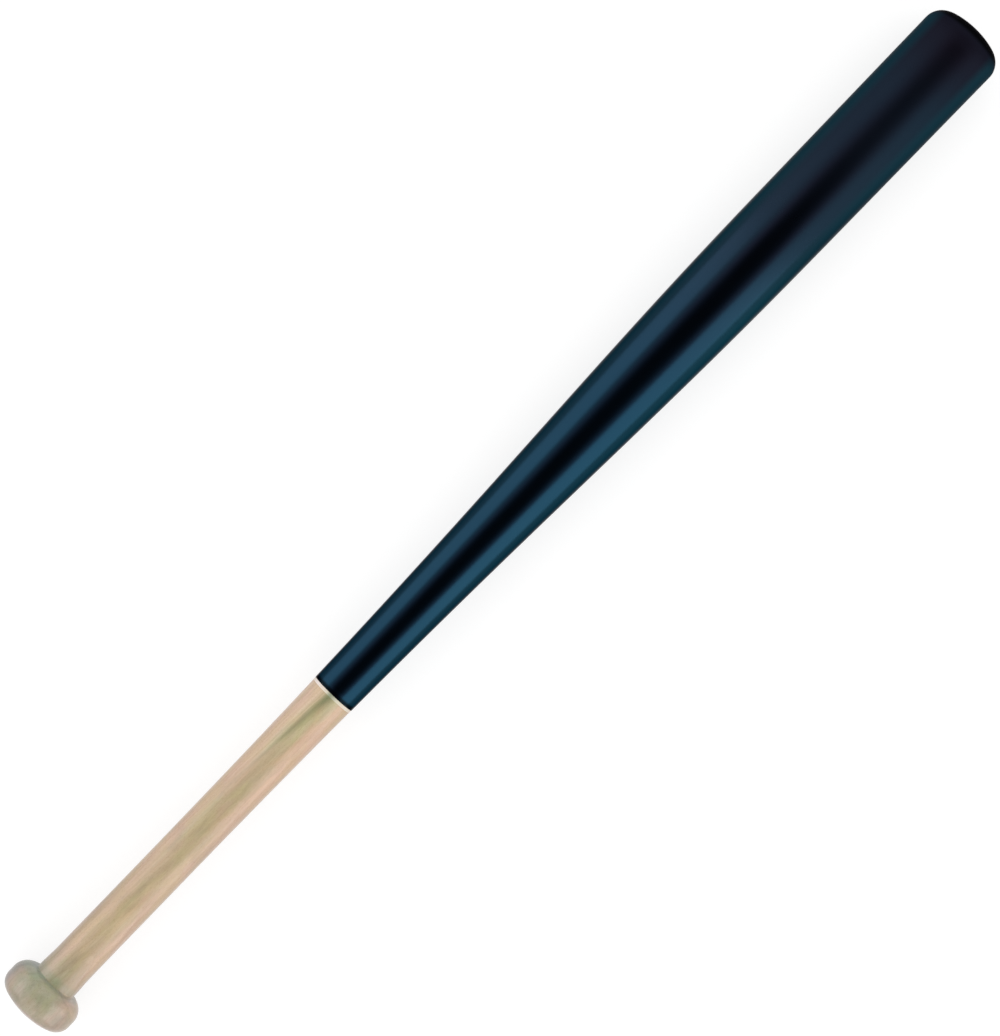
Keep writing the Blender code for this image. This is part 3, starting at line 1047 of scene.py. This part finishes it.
# %% [markdown]
# The light comes from a white tent all round, and the world does two jobs in it. What falls on matt
# surfaces is a plain, soft light at about the level at which colours look as they are written. It is a
# little stronger from the sides than from above, as in a tent with lamps behind its walls, so that the
# bat's sides stay clear of its own shadow.
#
# What a gloss mirrors is the tent itself. Its wall is white from the floor to about 45 degrees up, so the
# pale surround that mirrors need is there in every view, and then it darkens to a nearly black top through a
# narrow reddish dusk. The dark top makes the black streak along the lacquer, because that part of the bat
# mirrors straight up. It leans a few degrees, and the streak lies a little to one side with it.
#
# Two long softboxes stand to the left and the right of the bat. They are there for the gloss alone, and
# give the lacquer its two broad blue highlights. They end before the end of the barrel, where the highlights
# fade.

# %% Light the tent
TENT_LEVEL = 1.0
TENT_DARK_FROM = 0.70
TENT_DARK_TO = 0.96
TENT_LEAN = math.radians(4.0)
TENT_TOP = 0.015
DUSK_COLOUR = (1.9, 0.97, 1.2, 1.0)
DUSK_TO = 0.86
ROOM_TOP = 0.78
ROOM_SIDES = 0.46
ROOM_LEAN = 0.06


def light_tent():
    """The world: a soft room for matt surfaces, and a white tent for what a gloss mirrors."""
    world = bpy.data.worlds.new("tent")
    bpy.context.scene.world = world
    world.use_nodes = True
    world.node_tree.nodes.clear()
    board = Board(world.node_tree)
    direction = board.add("ShaderNodeTexCoord", output="Generated")
    top = (0.0, -math.sin(TENT_LEAN), math.cos(TENT_LEAN))
    rise = board.vector("DOT_PRODUCT", direction, top).other("Value")
    tent = board.step(rise, TENT_DARK_FROM, TENT_DARK_TO, TENT_LEVEL, TENT_TOP)
    seen = seen_directly(board)
    across = board.add("ShaderNodeSeparateXYZ", (), {"Vector": direction}).other("Y")
    room = board.maths("ABSOLUTE", across) * ROOM_SIDES - across * ROOM_LEAN + ROOM_TOP
    level = seen * tent + (1.0 - seen) * room
    dusk = board.step(rise, TENT_DARK_FROM, DUSK_TO) * seen
    colour = board.blend(dusk, (1.0, 1.0, 1.0, 1.0), DUSK_COLOUR)
    light = board.add("ShaderNodeBackground", (), {"Color": colour, "Strength": level})
    board.add("ShaderNodeOutputWorld", (), {"Surface": light})


light_tent()
white_to, dark_from = (round(math.degrees(math.asin(rise))) for rise in (TENT_DARK_FROM, TENT_DARK_TO))
print("tent white up to", white_to, "degrees and dark above", dark_from)

# %% Stand the softboxes
BOX_FROM = -1.10
BOX_TO = 0.34
BOX_HEIGHT = 0.95
BOX_AWAY = 0.90
BOX_LEVELS = {"left": 1.8, "right": 2.1}


def softbox(name, side, level):
    """An upright softbox on the floor, facing the bat. Its level is how bright it looks next to white."""
    light = bpy.data.lights.new(name, "AREA")
    light.shape = "RECTANGLE"
    light.size = BOX_TO - BOX_FROM
    light.size_y = BOX_HEIGHT
    light.energy = level * math.pi * light.size * light.size_y
    box = bpy.data.objects.new(name, light)
    box.location = ((BOX_FROM + BOX_TO) / 2, side * BOX_AWAY, BOX_HEIGHT / 2)
    box.rotation_euler = (-side * math.pi / 2, 0.0, 0.0)
    box.visible_diffuse = False
    bpy.context.scene.collection.objects.link(box)
    print(f"{name}: {light.size:.2f} by {light.size_y:.2f} m, {light.energy:.1f} W")


softbox("left_softbox", 1.0, BOX_LEVELS["left"])
softbox("right_softbox", -1.0, BOX_LEVELS["right"])

# %% [markdown]
# The picture was taken from straight above, with the bat laid across it from the lower left to the upper
# right. A long lens from nearly two metres keeps the two ends at nearly the same scale.

# %% Set up the camera
LENS = 104.25
SENSOR = 36.0
CAMERA_X = 1.7 * MM
CAMERA_Y = 1.38 * MM
CAMERA_ABOVE_AXIS = 1.847
PICTURE_ANGLE = math.radians(46.004)

scene = bpy.context.scene
lens = bpy.data.cameras.new("camera")
lens.lens = LENS
lens.sensor_width = SENSOR
lens.clip_start = 0.05
lens.clip_end = 50.0
camera = bpy.data.objects.new("camera", lens)
camera.location = (CAMERA_X, CAMERA_Y, axis_z + CAMERA_ABOVE_AXIS)
camera.rotation_euler = (0.0, 0.0, -PICTURE_ANGLE)
scene.collection.objects.link(camera)
scene.camera = camera
scene.view_settings.view_transform = "Standard"
print("camera", round(camera.location.z, 3), "m above the floor")

# %% [markdown]
# The last cell prints how large the dressed bat is next to the measured one.

# %% Compare the sizes and finish
seen_low, seen_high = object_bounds()
boxes = {"frame": [list(cad_low), list(cad_high)], "dressed": [list(seen_low), list(seen_high)]}
for name, (low, high) in boxes.items():
    print(name, [round(value / MM, 3) for value in low], [round(value / MM, 3) for value in high])
